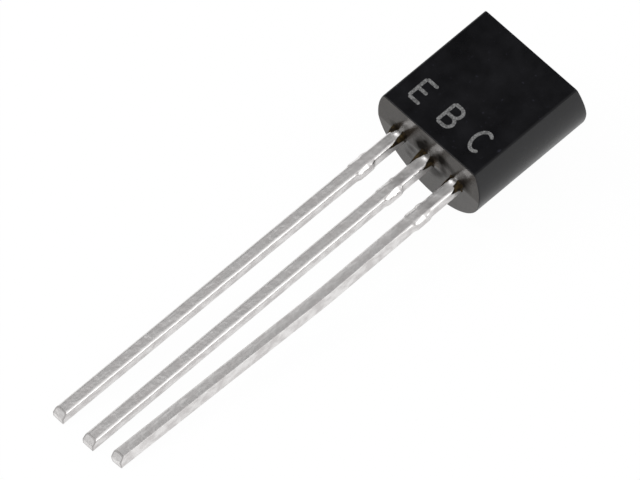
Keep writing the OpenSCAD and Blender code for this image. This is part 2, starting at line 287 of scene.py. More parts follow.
def lie_down(points):
    """Package frame to rest: turned by the tilt of the flat, then moved so that the middle of
    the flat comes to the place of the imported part's flat mount."""
    return turned(points) + (np.array(FLAT["pos_m"]) - turned(flat_middle()))


def flat_middle():
    """Middle of the flat in the package frame."""
    mould = settings("moulding")
    return np.array([0, mould.height / 2, flat_height()])


def flat_height():
    """Height of the flat above the middle of the leads."""
    return settings("moulding").lead_inset + settings("leads").thickness / 2


def round_centre():
    """Height of the round's axis above the middle of the leads."""
    mould = settings("moulding")
    return flat_height() - mould.depth + mould.width / 2


def end_lean(z):
    """How far the end face stands back from the parting line at the height z."""
    mould = settings("moulding")
    return np.where(z > 0, z * math.tan(mould.front_draft), -z * math.tan(mould.back_draft))


def bell(x, width):
    """Bell curve of x: 1 at 0, and 1/e at the width."""
    return np.exp(-(x / width) ** 2)


def skin(rings):
    """Points and faces of a closed skin. rings[i, j] is the surface's point at step i along and
    step j round, and each end is closed on the mean of its last ring. The rings turn so that
    step j crossed with step i points out."""
    count, around = rings.shape[:2]
    points = np.concatenate([rings.reshape(-1, 3), [rings[0].mean(0), rings[-1].mean(0)]])
    i, j = np.meshgrid(np.arange(count - 1), np.arange(around), indexing="ij")
    k = (j + 1) % around
    quads = np.stack([i * around + j, i * around + k, (i + 1) * around + k,
                      (i + 1) * around + j], axis=-1).reshape(-1, 4)
    j = np.arange(around)
    k = (j + 1) % around
    start, end = count * around, count * around + 1
    last = (count - 1) * around
    ends = np.concatenate([np.stack([k, j, np.full(around, start)], axis=-1),
                           np.stack([last + j, last + k, np.full(around, end)], axis=-1)])
    return points, quads.tolist() + ends.tolist()


def piece(name, skins, materials, sharp=30, slots=None, burnish_and_painted_light=None):
    """One object from a list of closed skins in the package frame, laid down at rest. Edges
    bent by more than sharp degrees stay hard. slots gives each face's material, and burnish a
    number from -1 to 1 for each point, which the tin's material reads as its finish and also as
    painted highlight and painted shade."""
    points, faces, start = [], [], 0
    for places, own in skins:
        points.append(places)
        faces += [[corner + start for corner in face] for face in own]
        start += len(places)
    mesh = bpy.data.meshes.new(name)
    mesh.from_pydata(lie_down(np.concatenate(points)).tolist(), [], faces)
    for material in materials:
        mesh.materials.append(material)
    if slots is not None:
        mesh.polygons.foreach_set("material_index", slots)
    if burnish_and_painted_light is not None:
        mesh.attributes.new("burnish_and_painted_light", "FLOAT", "POINT").data.foreach_set("value", burnish_and_painted_light)
    mesh.shade_smooth()
    mesh.set_sharp_from_angle(angle=math.radians(sharp))
    mesh.update()
    obj = bpy.data.objects.new(name, mesh)
    bpy.context.scene.collection.objects.link(obj)
    return obj


def rounded_section(width, height, top, bottom, side_steps=8, corner_steps=8):
    """Points and outward normals of a rectangle with round corners, as (across, up). It starts
    at the right end of its top side, turns towards +across, and its top and bottom corners have
    radii of their own. Straight sides are cut into equal steps."""
    arcs, points, normals = [], [], []
    corners = ((1, 1, top), (1, -1, bottom), (-1, -1, bottom), (-1, 1, top))
    for k, (right, up, radius) in enumerate(corners):
        a = np.pi / 2 * (1 - k) - np.linspace(0, np.pi / 2, corner_steps + 1)
        normal = np.stack([np.cos(a), np.sin(a)], axis=-1)
        middle = np.array([right * (width / 2 - radius), up * (height / 2 - radius)])
        arcs.append((middle + normal * radius, normal))
    t = np.linspace(0, 1, side_steps + 1)[1:-1, None]
    for k, (arc, normal) in enumerate(arcs):
        following = arcs[(k + 1) % len(arcs)][0]
        points += [arc, arc[-1] * (1 - t) + following[0] * t]
        normals += [normal, np.tile(normal[-1], (len(t), 1))]
    return np.concatenate(points), np.concatenate(normals)


def d_outline():
    """Points and outward normals of the moulding's D-shaped section, as (across, up): the flat,
    an arc of the edge radius that touches the flat and the round, the round, and the same arc
    on the other side."""
    mould = settings("moulding")
    flat_steps, round_steps, edge_steps = 90, 240, 10
    radius, centre = mould.width / 2, round_centre()
    arc_z = flat_height() - mould.edge
    arc_x = math.sqrt((radius - mould.edge) ** 2 - (arc_z - centre) ** 2)
    meet = math.atan2(arc_z - centre, arc_x)
    points, normals = [], []
    for middle, size, start, stop, steps in (
            ((arc_x, arc_z), mould.edge, np.pi / 2, meet, edge_steps),
            ((0, centre), radius, meet, -np.pi - meet, round_steps),
            ((-arc_x, arc_z), mould.edge, np.pi - meet, np.pi / 2, edge_steps)):
        a = np.linspace(start, stop, steps + 1)[:-1]
        normal = np.stack([np.cos(a), np.sin(a)], axis=-1)
        points.append(np.array(middle) + normal * size)
        normals.append(normal)
    x = np.linspace(-arc_x, arc_x, flat_steps + 1)[:-1]
    points.append(np.stack([x, np.full_like(x, flat_height())], axis=-1))
    normals.append(np.tile([0.0, 1.0], (len(x), 1)))
    return np.concatenate(points), np.concatenate(normals)


def moulding_skin():
    """The moulding's skin, and for each face 1 on the end faces and 0 elsewhere. Its rings run
    from the middle of the lead end out to the rim, round the edge by a quarter circle, along
    the wall, and over the closed end in the same way. Each ring is the D outline, drawn in along
    its normals at the edges and on the faces, where it shrinks towards its middle too. Along Y
    it lies between the two ends, which lean back from the parting line by the two drafts."""
    mould = settings("moulding")
    outline, normal = d_outline()
    face_rings, edge_rings, wall_rings = 89, 7, 58
    face = np.linspace(0.01, 1, face_rings + 1)[:-1]
    turn = np.linspace(0, np.pi / 2, edge_rings)
    wall = np.linspace(0, 1, wall_rings + 2)[1:-1]

    def ring_values(on_face, on_edge, on_wall):
        """A value for each ring, over the lead end, along the wall and over the closed end."""
        end = np.concatenate([np.broadcast_to(on_face, face_rings), on_edge])
        side = np.broadcast_to(on_wall, wall_rings)
        return np.concatenate([end, side, end[::-1]])[:, None]

    shrink = ring_values(face, np.ones(edge_rings), 1)[..., None]
    inset = mould.end_edge * ring_values(1, 1 - np.sin(turn), 0)[..., None]
    deep = mould.end_edge * ring_values(0, 1 - np.cos(turn), 1)
    end = np.zeros(face_rings + edge_rings)
    along = np.concatenate([end, wall, end + 1])[:, None]
    middle = np.array([0, round_centre()])
    drawn = outline - normal * inset
    x, z = np.moveaxis(middle + (drawn - middle) * shrink, -1, 0)
    low = end_lean(z) + deep
    y = low * (1 - along) + (mould.height - low) * along
    y[:face_rings] -= gate_relief(x[:face_rings], z[:face_rings])
    on_end = np.zeros((len(along) - 1, len(outline)), int)
    on_end[:face_rings + 1], on_end[-face_rings - 1:] = 1, 1
    return skin(np.stack([x, y, z], axis=-1)), \
        np.concatenate([on_end.ravel(), np.ones(2 * len(outline), int)])


def gate_relief(x, z):
    """Height of the gate's remains on the lead end: a torn ring round a low knob, each a bell
    curve of the distance from the middle, which is squashed a little along Z and put out of
    shape by two waves round the turn."""
    mould = settings("moulding")
    knob_radius, ring_width = 0.45 * mould.gate_size, 0.3 * mould.gate_size
    dx, dz = x - mould.gate[0], z - mould.gate[1]
    turn = np.arctan2(dz, dx)
    waves = 0.07 * np.sin(2 * turn + 1) + 0.05 * np.sin(5 * turn)
    far = np.hypot(dx, dz * 0.85) * (1 + waves)
    return mould.knob * bell(far, knob_radius) \
        - mould.gate_depth * bell(far - mould.gate_size, ring_width)


def lead_course(index, along):
    """Place of a lead's middle line and its heading at the distances along, which are measured
    from the moulding and are negative inside it. The heading is the angle from -Y towards +X: it
    is the lead's lean, and changes evenly over the length of a bend. The place is the sum of the
    steps taken along the heading."""
    lead = settings("leads")
    fine = np.linspace(0, lead.reach[index], 2001)
    # a straight lead gets next to no length of bend, because the heading divides by it
    over = max(abs(lead.bend[index]) * lead.bend_radius, 0.001 * MM)
    heading = lead.lean[index] + lead.bend[index] * np.clip((fine - lead.bend_at) / over, 0, 1)
    middle = (heading[1:] + heading[:-1]) / 2
    step = np.diff(fine)
    x = np.concatenate([[0], np.cumsum(np.sin(middle) * step)])
    y = np.concatenate([[0], -np.cumsum(np.cos(middle) * step)])
    inside = along < 0
    return (np.where(inside, 0, np.interp(along, fine, x)) + (index - BASE) * lead.pitch,
            np.where(inside, -along, np.interp(along, fine, y)),
            np.where(inside, 0, np.interp(along, fine, heading)))


def twisted(along):
    """Share of a lead's twist at the distances along: it grows evenly from the end of the
    stubs over the length of the twist."""
    lead = settings("leads")
    start = lead.stub_at + lead.stub_length / 2 + lead.stub_height
    return np.clip((along - start) / lead.twist_length, 0, 1)


def carried(index, along, across, up):
    """Points that lie across and up from a lead's middle line at the distances along. Past the
    stubs the section turns about the line by the lead's twist."""
    x, y, heading = lead_course(index, along)
    twist = settings("leads").twist[index] * twisted(along)
    side = across * np.cos(twist) - up * np.sin(twist)
    return np.stack([x + side * np.cos(heading), y + side * np.sin(heading),
                     across * np.sin(twist) + up * np.cos(twist)], axis=-1)


def lead_steps(index, inside):
    """Distances from the moulding at which a lead's rings lie, and each ring's size. The rings
    lie close together at the root, by the stubs and over the drawn-back tip, and the last ones
    shrink evenly to close the end."""
    lead = settings("leads")
    inside_rings, shank_rings, tip_rings, closing_rings = 5, 140, 17, 13
    root, root_step, smallest = 3.2 * MM, 0.02 * MM, 0.04
    end = lead.reach[index]
    tip = end - lead.tip_length
    along = np.unique(np.concatenate([
        np.linspace(-inside, 0, inside_rings), np.arange(0, root, root_step),
        np.linspace(root, tip, shank_rings), np.linspace(tip, end, tip_rings)]))
    closing = np.linspace(1, smallest, closing_rings + 1)[1:]
    size = np.concatenate([np.ones(len(along)), closing])
    return np.concatenate([along, np.full(len(closing), end)])[:, None], size[:, None]


def stub_rise(along):
    """Share of its way up a stub's slope at the distances along: 0 away from the stubs, 1 on
    them, and growing evenly over the slopes."""
    lead = settings("leads")
    reach = (lead.stub_length + lead.stub_height + lead.stub_slope) / 2
    return np.clip((reach - np.abs(along - lead.stub_at)) / lead.stub_slope, 0, 1)


def facet_depth(index, past):
    """Depth of the facet that trimming left on a stub's front corner, and its gloss, at the
    distances past the middle of the stub. The depth falls evenly towards the tip. Towards the
    moulding depth and gloss end bluntly, by the fourth power of the distance."""
    lead = settings("leads")
    gloss = 1 - np.clip(-past / lead.cut_start[index], 0, None) ** 4
    return lead.cut_depth[index] * gloss - lead.cut_lean * past, gloss


def lead_skin(index, inside):
    """A lead's skin and each point's finish: 1 burnished, 0 as plated, -1 dulled. The burnished
    points are also painted lighter as highlight, and the twisted lead's sharp edge is painted
    darker as shade. The section is carried along the lead's course, from inside the moulding to
    the sheared tip. It swells to a domed bead on its front at the root. At the stubs it widens by
    the square of its normal's share sideways, with S-shaped slopes, and a plane at 45 degrees
    cuts a facet off each front corner. Where a lead is twisted its right front edge is sharp, and
    the front falls towards it by the square of the distance. Near the tip each point is drawn
    back by its height above the bevel. The end closes in shrinking rings."""
    lead = settings("leads")
    along, size = lead_steps(index, inside)
    end, past = lead.reach[index], along - lead.stub_at
    section, normal = rounded_section(lead.width, lead.thickness, lead.edge, lead.burr)
    sharp, _ = rounded_section(lead.width, lead.thickness, lead.burr, lead.burr)
    # a twisted lead's right side, where the normal is level, and the right half of its front
    right = (section[:, 0] > 0) & (normal[:, 1] > -0.01)
    wrung = right * twisted(along) * (lead.twist[index] != 0)
    x, z = np.moveaxis(section + (sharp - section) * wrung[..., None], -1, 0)
    front = np.clip(normal[:, 1], 0, 1)
    bead = front * bell(x - lead.bead_side[index], lead.bead_length) \
        * bell(along - lead.bead_at, lead.bead_length)
    rise = stub_rise(along)
    stub = lead.stub_height * rise ** 2 * (3 - 2 * rise)
    sideways = np.sign(normal[:, 0]) * normal[:, 0] ** 2
    across = x * size + sideways * stub
    fall = lead.roll_off * wrung * front * (2 * x / lead.width) ** 2
    up = z * size + lead.bead_height * bead - fall
    # what stands out of the facets' planes is set back onto them
    depth, gloss = facet_depth(index, past)
    diagonal = math.sqrt(0.5)
    corner = (lead.width / 2 + lead.thickness / 2 - 2 * lead.edge) * diagonal + lead.edge
    over = (np.abs(across) + up) * diagonal - (corner + lead.stub_height * diagonal - depth)
    cut = np.where((depth > 0) & (over > 0), over, 0)
    across = across - np.sign(across) * cut * diagonal
    up = up - cut * diagonal
    back = np.maximum(0, up - (lead.thickness / 2 - lead.tip_bevel))
    placed = along - back * np.clip((along - end + lead.tip_length) / lead.tip_length, 0, 1)
    # burnished, and painted lighter as highlight: the round front edges, the facets, the bead and
    # the front by the moulding
    round_edge = np.clip(2 * np.minimum(np.abs(normal[:, 0]), front), 0, 1)
    bead_and_root_highlight = np.maximum(bead, front * bell(along, lead.smooth_highlit_root))
    gloss_and_highlight = np.maximum(np.where(cut > 0, gloss, 0), bead_and_root_highlight)
    # painted darker as shade: the twisted lead's sharp edge; dulled: the stubs' slopes, the clamp's
    # mark on the front and a line round the sheared end
    off_edge = np.hypot(x - lead.width / 2, z - lead.thickness / 2)
    slope = 4 * rise * (1 - rise) * (cut <= 0) * np.where(past > 0, 2, 1)
    clamped = lead.clamp[index] * bell(along - lead.clamp_at, lead.clamp_length) * front ** 4
    # the twisted lead's sharp edge loses the edge's burnish and is painted darker, a painted shade
    # along it
    finish = np.maximum(round_edge * (1 - wrung) - wrung * bell(off_edge, lead.edge), gloss_and_highlight)
    finish = finish - slope * round_edge - clamped
    rim, sheared = 0.8, 0.5
    cap = np.where(size > rim, -1, sheared)
    finish = np.where(along < end - lead.shear_line, finish, cap)[::-1]
    return skin(carried(index, placed, across, up)[::-1]), \
        np.concatenate([finish.ravel(), [0, 0]])


def plate_skin(x, y):
    """A stamped plate of the lead frame between two x and two y values: a rounded rectangle
    carried straight through the frame's thickness."""
    corner, half = settings("frame").corner, settings("leads").thickness / 2
    outline, _ = rounded_section(x[1] - x[0], y[1] - y[0], corner, corner)
    outline = outline + [(x[0] + x[1]) / 2, (y[0] + y[1]) / 2]
    return skin(np.array([np.column_stack([outline, np.full(len(outline), z)])
                          for z in (-half, half)]))


def frame_plates(index):
    """Skins of a lead's plates inside the moulding, and how deep its riser runs."""
    lead, inner = settings("leads"), settings("frame")
    edge = settings("moulding").width / 2 - inner.wall
    sides = np.array([-0.5, 0.5])
    post_x = np.array([-edge, -edge + inner.post_w])
    base_y = np.array([inner.post_at, inner.post_at + inner.post_h])
    flag_y = base_y[1] + inner.gap
    ears = ((index - BASE) * lead.pitch + sides * inner.ear_w,
            (inner.ear_at, inner.ear_at + inner.ear_h))
    neck = (lead.pitch + sides * inner.neck_w,
            (inner.post_at + inner.ear_h, flag_y + inner.flag_h))
    flag = ((post_x[1] + inner.gap, lead.pitch + inner.neck_w / 2),
            (flag_y, flag_y + inner.flag_h))
    plates = {EMITTER: [ears, (post_x, (base_y[1], flag_y + inner.post_h))],
              BASE: [(sides * inner.base_post_w, base_y)],
              COLLECTOR: [ears, neck, flag]}
    riser = {EMITTER: flag_y + inner.post_h / 2, BASE: base_y.mean(), COLLECTOR: flag_y}
    return [plate_skin(x, y) for x, y in plates[index]], riser[index]


def ripple(turn, seed, *waves):
    """Sum of sine waves round a turn, as (waves per turn, height) pairs, shifted by the seed."""
    return sum(height * np.sin(count * turn + seed * (1 + 0.37 * count)) for count, height in waves)


def crept_skin(index):
    """Resin that crept out round a lead. Over the end face it is a thin foot that follows the
    face and runs out unevenly round the lead. Along the lead it is the section thickened by a
    film that thins to nothing at an edge that wanders. The edge lies near the moulding on the
    front, bows round the tin's bead, and runs out as a bell curve of the direction on the left
    and on the right."""
    lead, crept = settings("leads"), settings("crept")
    section, normal = rounded_section(lead.width, lead.thickness, lead.edge, lead.burr)
    turn = np.linspace(0, 2 * np.pi, len(section), endpoint=False)
    seed = index + 1
    wander = 1 + ripple(turn, seed, (3, 0.08), (7, 0.06), (13, 0.04))
    facing = np.arctan2(section[:, 1], section[:, 0])
    left = bell(np.angle(np.exp(1j * (facing - crept.left_turn))), crept.run_width)
    right = bell(np.angle(np.exp(1j * (facing - crept.right_turn))), crept.run_width)
    thick = crept.film + crept.left_film[index] * left + crept.right_film[index] * right
    aside = (section[:, 0] - lead.bead_side[index]) / (lead.width / 2 - lead.edge)
    bowed = crept.bow * np.clip(aside ** 2, 0, 1.5) * (normal[:, 1] > 0)
    reach = (crept.near + np.maximum(bowed, crept.left_reach[index] * left
                                 + crept.right_reach[index] * right)) * wander
    # the foot's rings, from inside the moulding out to the lead: share of the spread, and height
    # in thicknesses of its film
    foot = np.array([1, 1, 0.96, 0.7, 0.4, 0.15])[:, None]
    level = np.array([-3, 0.2, 0.8, 1, 1.2, 2.2])[:, None] * crept.foot_film
    outward = section / np.linalg.norm(section, axis=1, keepdims=True)
    spread = crept.foot * np.abs(np.cos(facing)) * (1 + ripple(facing, seed, (5, 0.2), (11, 0.1)))
    out = section + outward * (foot * spread + thick)[..., None]
    spread_over = np.stack([out[..., 0] + (index - BASE) * lead.pitch,
                            end_lean(out[..., 1]) - level, out[..., 1]], axis=-1)
    # along the lead the film thins by a power of the way, and its last ring dips into the tin
    step = np.linspace(0, 1, 15)[1:, None]
    film = thick * (1 - step ** 1.6)
    film[-1] = -0.01 * MM
    grown = section + normal * film[..., None]
    start = 3 * crept.foot_film
    along_lead = carried(index, step * reach + start, grown[..., 0], grown[..., 1])
    return skin(np.concatenate([spread_over, along_lead])[::-1])


def stroke_skin(path, rise):
    """One stroke of a letter: a flat bar carried along a path on the flat, with round ends. Its
    half width at d half widths from the nearer end is the full half width times
    sqrt(1 - (1 - d)^2)."""
    letter = settings("letters")
    cap_steps, bar_steps, least = 7, 24, 0.01
    half, sunk = letter.stroke / 2, 5 * letter.lift
    far = np.concatenate([[0], np.cumsum(np.hypot(*np.diff(path, axis=0).T))])
    cap = half * (1 - np.cos(np.linspace(0, np.pi / 2, cap_steps)))
    bar = np.linspace(half, far[-1] - half, bar_steps)[1:-1]
    at = np.concatenate([cap, bar, far[-1] - cap[::-1]])
    d = np.clip(np.minimum(at, far[-1] - at) / half, 0, 1)
    wide = half * np.sqrt(np.clip(1 - (1 - d) ** 2, least, 1))
    place = np.stack([np.interp(at, far, path[:, k]) for k in (0, 1)], axis=-1)
    ahead = np.gradient(place, at, axis=0)
    ahead /= np.linalg.norm(ahead, axis=1, keepdims=True)
    side = np.stack([-ahead[:, 1], ahead[:, 0]], axis=-1) * wide[:, None]
    top, bottom = flat_height() + rise, flat_height() - sunk
    rings = np.stack([np.column_stack([place + sign * side, np.full(len(at), z)])
                      for sign, z in ((1, bottom), (1, top), (-1, top), (-1, bottom))], axis=1)
    return skin(rings[::-1])


def arc_path(middle, rx, ry, start, stop, steps=32):
    """Points on an ellipse from one angle to another, in degrees."""
    a = np.radians(np.linspace(start, stop, steps))
    return np.stack([middle[0] + rx * np.cos(a), middle[1] + ry * np.sin(a)], axis=-1)


def letter_paths():
    """Strokes of the letters E, B and C round their own middles, each drawn as lines and arcs
    between the left, right, foot, middle and top of a letter."""
    letter = settings("letters")
    right, top = letter.width / 2, letter.height / 2
    bowl, bar, opening = letter.height / 4, 0.7 * right, 48
    line = [np.array(ends) for ends in (
        [(right, -top), (-right, -top)], [(-right, -top), (-right, top)],
        [(-right, top), (right, top)], [(-right, 0), (bar, 0)])]
    upper = np.concatenate([[(-right, top)],
                            arc_path((0.1 * right, bowl), bowl, bowl, 90, -90),
                            [(-right, 0)]])
    lower = np.concatenate([[(-right, 0)],
                            arc_path((0.15 * right, -bowl), 1.05 * bowl, bowl, 90, -90),
                            [(-right, -top)]])
    round_c = arc_path((0.12 * right, 0), 1.1 * right, top, opening, 360 - opening)
    return line, [line[1], upper, lower], [round_c]


# ---------------------------------------------------------------- materials

# sockets of a node that mixes colours, by number because their names repeat: the second
# colour's share, the two colours, and the mixed colour that comes out
SHARE, FIRST, SECOND, MIXED = 0, 6, 7, 2


def add_node(tree, kind, inputs=None, output=0, **options):
    """Adds a node with its own options and gives one of its outputs. Each input is set to a
    value, or linked where it is given another node's output. It goes by name, or by number
    where the node repeats a name."""
    node = tree.nodes.new(kind)
    for name, value in options.items():
        setattr(node, name, value)
    for key, value in (inputs or {}).items():
        if isinstance(value, bpy.types.NodeSocket):
            tree.links.new(value, node.inputs[key])
        else:
            node.inputs[key].default_value = value
    return node.outputs[output] if node.outputs else None


def new_material(name):
    """A material without nodes, and its node tree."""
    material = bpy.data.materials.new(name)
    material.use_nodes = True
    material.node_tree.nodes.clear()
    return material, material.node_tree


def rgba(tone, strength=1.0):
    """A colour made lighter or darker by a factor, with full opacity."""
    return (*(min(c * strength, 1) for c in tone), 1)


def package_mm(tree, stretch=(1, 1, 1)):
    """The package frame in millimetres: Object coordinates turned back by the tilt of the flat.
    A stretch below 1 along an axis makes a pattern longer there."""
    back = Matrix.Rotation(-TILT, 3, "X") @ Vector(FLAT["pos_m"])
    where = add_node(tree, "ShaderNodeMapping", {
        "Vector": add_node(tree, "ShaderNodeTexCoord", output="Object"),
        "Scale": (1 / MM,) * 3, "Rotation": (-TILT, 0, 0),
        "Location": (Vector(flat_middle()) - back) / MM})
    return where if stretch == (1, 1, 1) else add_node(
        tree, "ShaderNodeMapping", {"Vector": where, "Scale": stretch})


def eroded_epoxy(resin):
    """Epoxy moulding compound: silica-filled resin with carbon black, cured in a spark-eroded
    steel cavity. The flat and the round come out deep black with a fine satin grain, faint
    clouds where the filler flowed, and a few pale specks of dust. The sheen is graded by height
    as a painted reflection shade: it grows up the round from its sides to just below the flat,
    so that the round's lower part mirrors as dimly as if it faced shadowed floor, and it is as
    low on the flat as on the back."""
    mould = settings("moulding")
    material, tree = new_material("eroded_epoxy")
    where = package_mm(tree)
    height = add_node(tree, "ShaderNodeSeparateXYZ", {"Vector": where}, "Z")
    # just below the flat the sheen drops to the flat's own
    flat_mm, fade_mm = flat_height() / MM - 0.01, 0.06
    # painted reflection shade: the specular level rises with height up the round, in place of the
    # shadowed floor that the round's lower part would mirror
    sheen = add_node(tree, "ShaderNodeMapRange", {
        "Value": height, "From Min": round_centre() / MM, "From Max": flat_mm,
        "To Min": mould.flat_sheen, "To Max": mould.painted_round_sheen})
    sheen = add_node(tree, "ShaderNodeMapRange", {
        "Value": height, "From Min": flat_mm - fade_mm, "From Max": flat_mm, "To Min": sheen,
        "To Max": mould.flat_sheen})
    # the eroded grain is about 0.02 mm, and is drawn at 0.06 mm so that it shows
    grain_mm, cloud_mm, speck_mm = 0.06, 0.9, 0.11
    clouds = add_node(tree, "ShaderNodeTexNoise", {
        "Vector": where, "Scale": 1 / cloud_mm, "Detail": 4.0, "Roughness": 0.6})
    grain = add_node(tree, "ShaderNodeTexNoise", {
        "Vector": where, "Scale": 1 / grain_mm, "Detail": 2.0, "Roughness": 0.6})
    dust = add_node(tree, "ShaderNodeTexNoise", {
        "Vector": where, "Scale": 1 / speck_mm, "Detail": 1.0})
    tone = add_node(tree, "ShaderNodeMix", {
        SHARE: add_node(tree, "ShaderNodeMapRange", {
            "Value": clouds, "From Min": 0.35, "From Max": 0.65}),
        FIRST: rgba(resin, 0.7), SECOND: rgba(resin, 1.35)}, MIXED, data_type="RGBA")
    tone = add_node(tree, "ShaderNodeMix", {
        SHARE: add_node(tree, "ShaderNodeMapRange", {
            "Value": dust, "From Min": 0.72, "From Max": 0.80, "To Max": 0.7}),
        FIRST: tone, SECOND: rgba(resin, 9)}, MIXED, data_type="RGBA")
    rough = add_node(tree, "ShaderNodeMapRange", {
        "Value": clouds, "From Min": 0.3, "From Max": 0.7, "To Min": 0.26, "To Max": 0.36})
    bump = add_node(tree, "ShaderNodeBump", {
        "Strength": 0.5, "Distance": 0.003 * MM, "Height": grain})
    bump = add_node(tree, "ShaderNodeBump", {
        "Strength": 0.5, "Distance": 0.015 * MM, "Height": clouds, "Normal": bump})
    shader = add_node(tree, "ShaderNodeBsdfPrincipled", {
        "Base Color": tone, "Roughness": rough, "Normal": bump, "IOR": 1.5,
        "Specular IOR Level": sheen})
    add_node(tree, "ShaderNodeOutputMaterial", {"Surface": shader})
    return material


def smooth_epoxy(resin):
    """The same compound against the ground end walls of the cavity: browner and smoother, with a
    soft gloss. Where the gate was torn off the knob is paler and the ring round it dull and
    dark, and stains of crept resin darken and dull the skin in patches."""
    mould = settings("moulding")
    material, tree = new_material("smooth_epoxy")
    where = package_mm(tree)
    # the ground wall's grain is finer than 0.02 mm, and is drawn at 0.05 mm so that it shows
    wave_mm, stain_mm, grain_mm, fade_mm = 0.9, 0.4, 0.05, 0.34
    # the stain pattern puts the gate and the stains out of round by up to this much, which moves
    # the middle of the gate's ring outwards
    wobble_mm, ring_mm = 0.35, mould.gate_size / MM + 0.12
    waves = add_node(tree, "ShaderNodeTexNoise", {
        "Vector": where, "Scale": 1 / wave_mm, "Detail": 3.0})
    stains = add_node(tree, "ShaderNodeTexNoise", {
        "Vector": where, "Scale": 1 / stain_mm, "Detail": 4.0, "Roughness": 0.6})
    grain = add_node(tree, "ShaderNodeTexNoise", {
        "Vector": where, "Scale": 1 / grain_mm, "Detail": 2.0, "Roughness": 0.6})
    wobble = add_node(tree, "ShaderNodeMath", {0: stains, 1: wobble_mm}, operation="MULTIPLY")
    gate = add_node(tree, "ShaderNodeVectorMath", {
        0: where, 1: (mould.gate[0] / MM, 0, mould.gate[1] / MM)}, "Value", operation="DISTANCE")
    gate = add_node(tree, "ShaderNodeMath", {0: gate, 1: wobble})
    off_ring = add_node(tree, "ShaderNodeMath", {
        0: add_node(tree, "ShaderNodeMath", {0: gate, 1: ring_mm}, operation="SUBTRACT")},
        operation="ABSOLUTE")
    dull = add_node(tree, "ShaderNodeMapRange", {
        "Value": off_ring, "From Min": 0.02, "From Max": 0.22, "To Min": 0.55, "To Max": 0.0})
    for x, z, radius, strength in STAINS:
        far = add_node(tree, "ShaderNodeVectorMath", {
            0: where, 1: (x, 0, z)}, "Value", operation="DISTANCE")
        spot = add_node(tree, "ShaderNodeMapRange", {
            "Value": add_node(tree, "ShaderNodeMath", {0: far, 1: wobble}),
            "From Min": radius, "From Max": radius + fade_mm, "To Min": strength,
            "To Max": 0.0})
        dull = add_node(tree, "ShaderNodeMath", {0: dull, 1: spot}, use_clamp=True)
    tone = add_node(tree, "ShaderNodeMix", {
        SHARE: dull, FIRST: rgba(resin), SECOND: rgba(resin, 0.25)}, MIXED, data_type="RGBA")
    tone = add_node(tree, "ShaderNodeMix", {
        SHARE: add_node(tree, "ShaderNodeMapRange", {
            "Value": gate, "From Min": 0.15, "From Max": 0.40, "To Min": 1.0, "To Max": 0.0}),
        FIRST: tone, SECOND: rgba(resin, 4)}, MIXED, data_type="RGBA")
    rough = add_node(tree, "ShaderNodeMapRange", {
        "Value": dull, "To Min": 0.22, "To Max": 0.62})
    height = add_node(tree, "ShaderNodeMath", {0: grain, 1: add_node(
        tree, "ShaderNodeMapRange", {"Value": dull, "To Min": 0.15, "To Max": 1.0})},
        operation="MULTIPLY")
    bump = add_node(tree, "ShaderNodeBump", {
        "Strength": 0.7, "Distance": 0.012 * MM, "Height": height})
    bump = add_node(tree, "ShaderNodeBump", {
        "Strength": 0.4, "Distance": 0.015 * MM, "Height": waves, "Normal": bump})
    shader = add_node(tree, "ShaderNodeBsdfPrincipled", {
        "Base Color": tone, "Roughness": rough, "Normal": bump, "IOR": 1.5,
        "Specular IOR Level": add_node(tree, "ShaderNodeMapRange", {
            "Value": dull, "To Min": 0.22, "To Max": 0.02})})
    add_node(tree, "ShaderNodeOutputMaterial", {"Surface": shader})
    return material


def crept_resin(tone, amber):
    """Clear part of the compound that crept out along the metal without its filler: a film of
    the darkest brown with amber patches, a dull gloss and a skin of tiny flow waves."""
    material, tree = new_material("crept_resin")
    where = package_mm(tree)
    patch_mm, wave_mm = 0.15, 0.07
    patches = add_node(tree, "ShaderNodeTexNoise", {
        "Vector": where, "Scale": 1 / patch_mm, "Detail": 3.0})
    waves = add_node(tree, "ShaderNodeTexNoise", {
        "Vector": where, "Scale": 1 / wave_mm, "Detail": 2.0})
    brown = add_node(tree, "ShaderNodeMix", {
        SHARE: add_node(tree, "ShaderNodeMapRange", {
            "Value": patches, "From Min": 0.42, "From Max": 0.70}),
        FIRST: rgba(tone, 0.5), SECOND: rgba(amber)}, MIXED, data_type="RGBA")
    rough = add_node(tree, "ShaderNodeMapRange", {
        "Value": patches, "From Min": 0.3, "From Max": 0.7, "To Min": 0.35, "To Max": 0.6})
    bump = add_node(tree, "ShaderNodeBump", {
        "Strength": 0.6, "Distance": 0.012 * MM, "Height": waves})
    shader = add_node(tree, "ShaderNodeBsdfPrincipled", {
        "Base Color": brown, "Roughness": rough, "Normal": bump, "IOR": 1.5,
        "Specular IOR Level": 0.06})
    add_node(tree, "ShaderNodeOutputMaterial", {"Surface": shader})
    return material


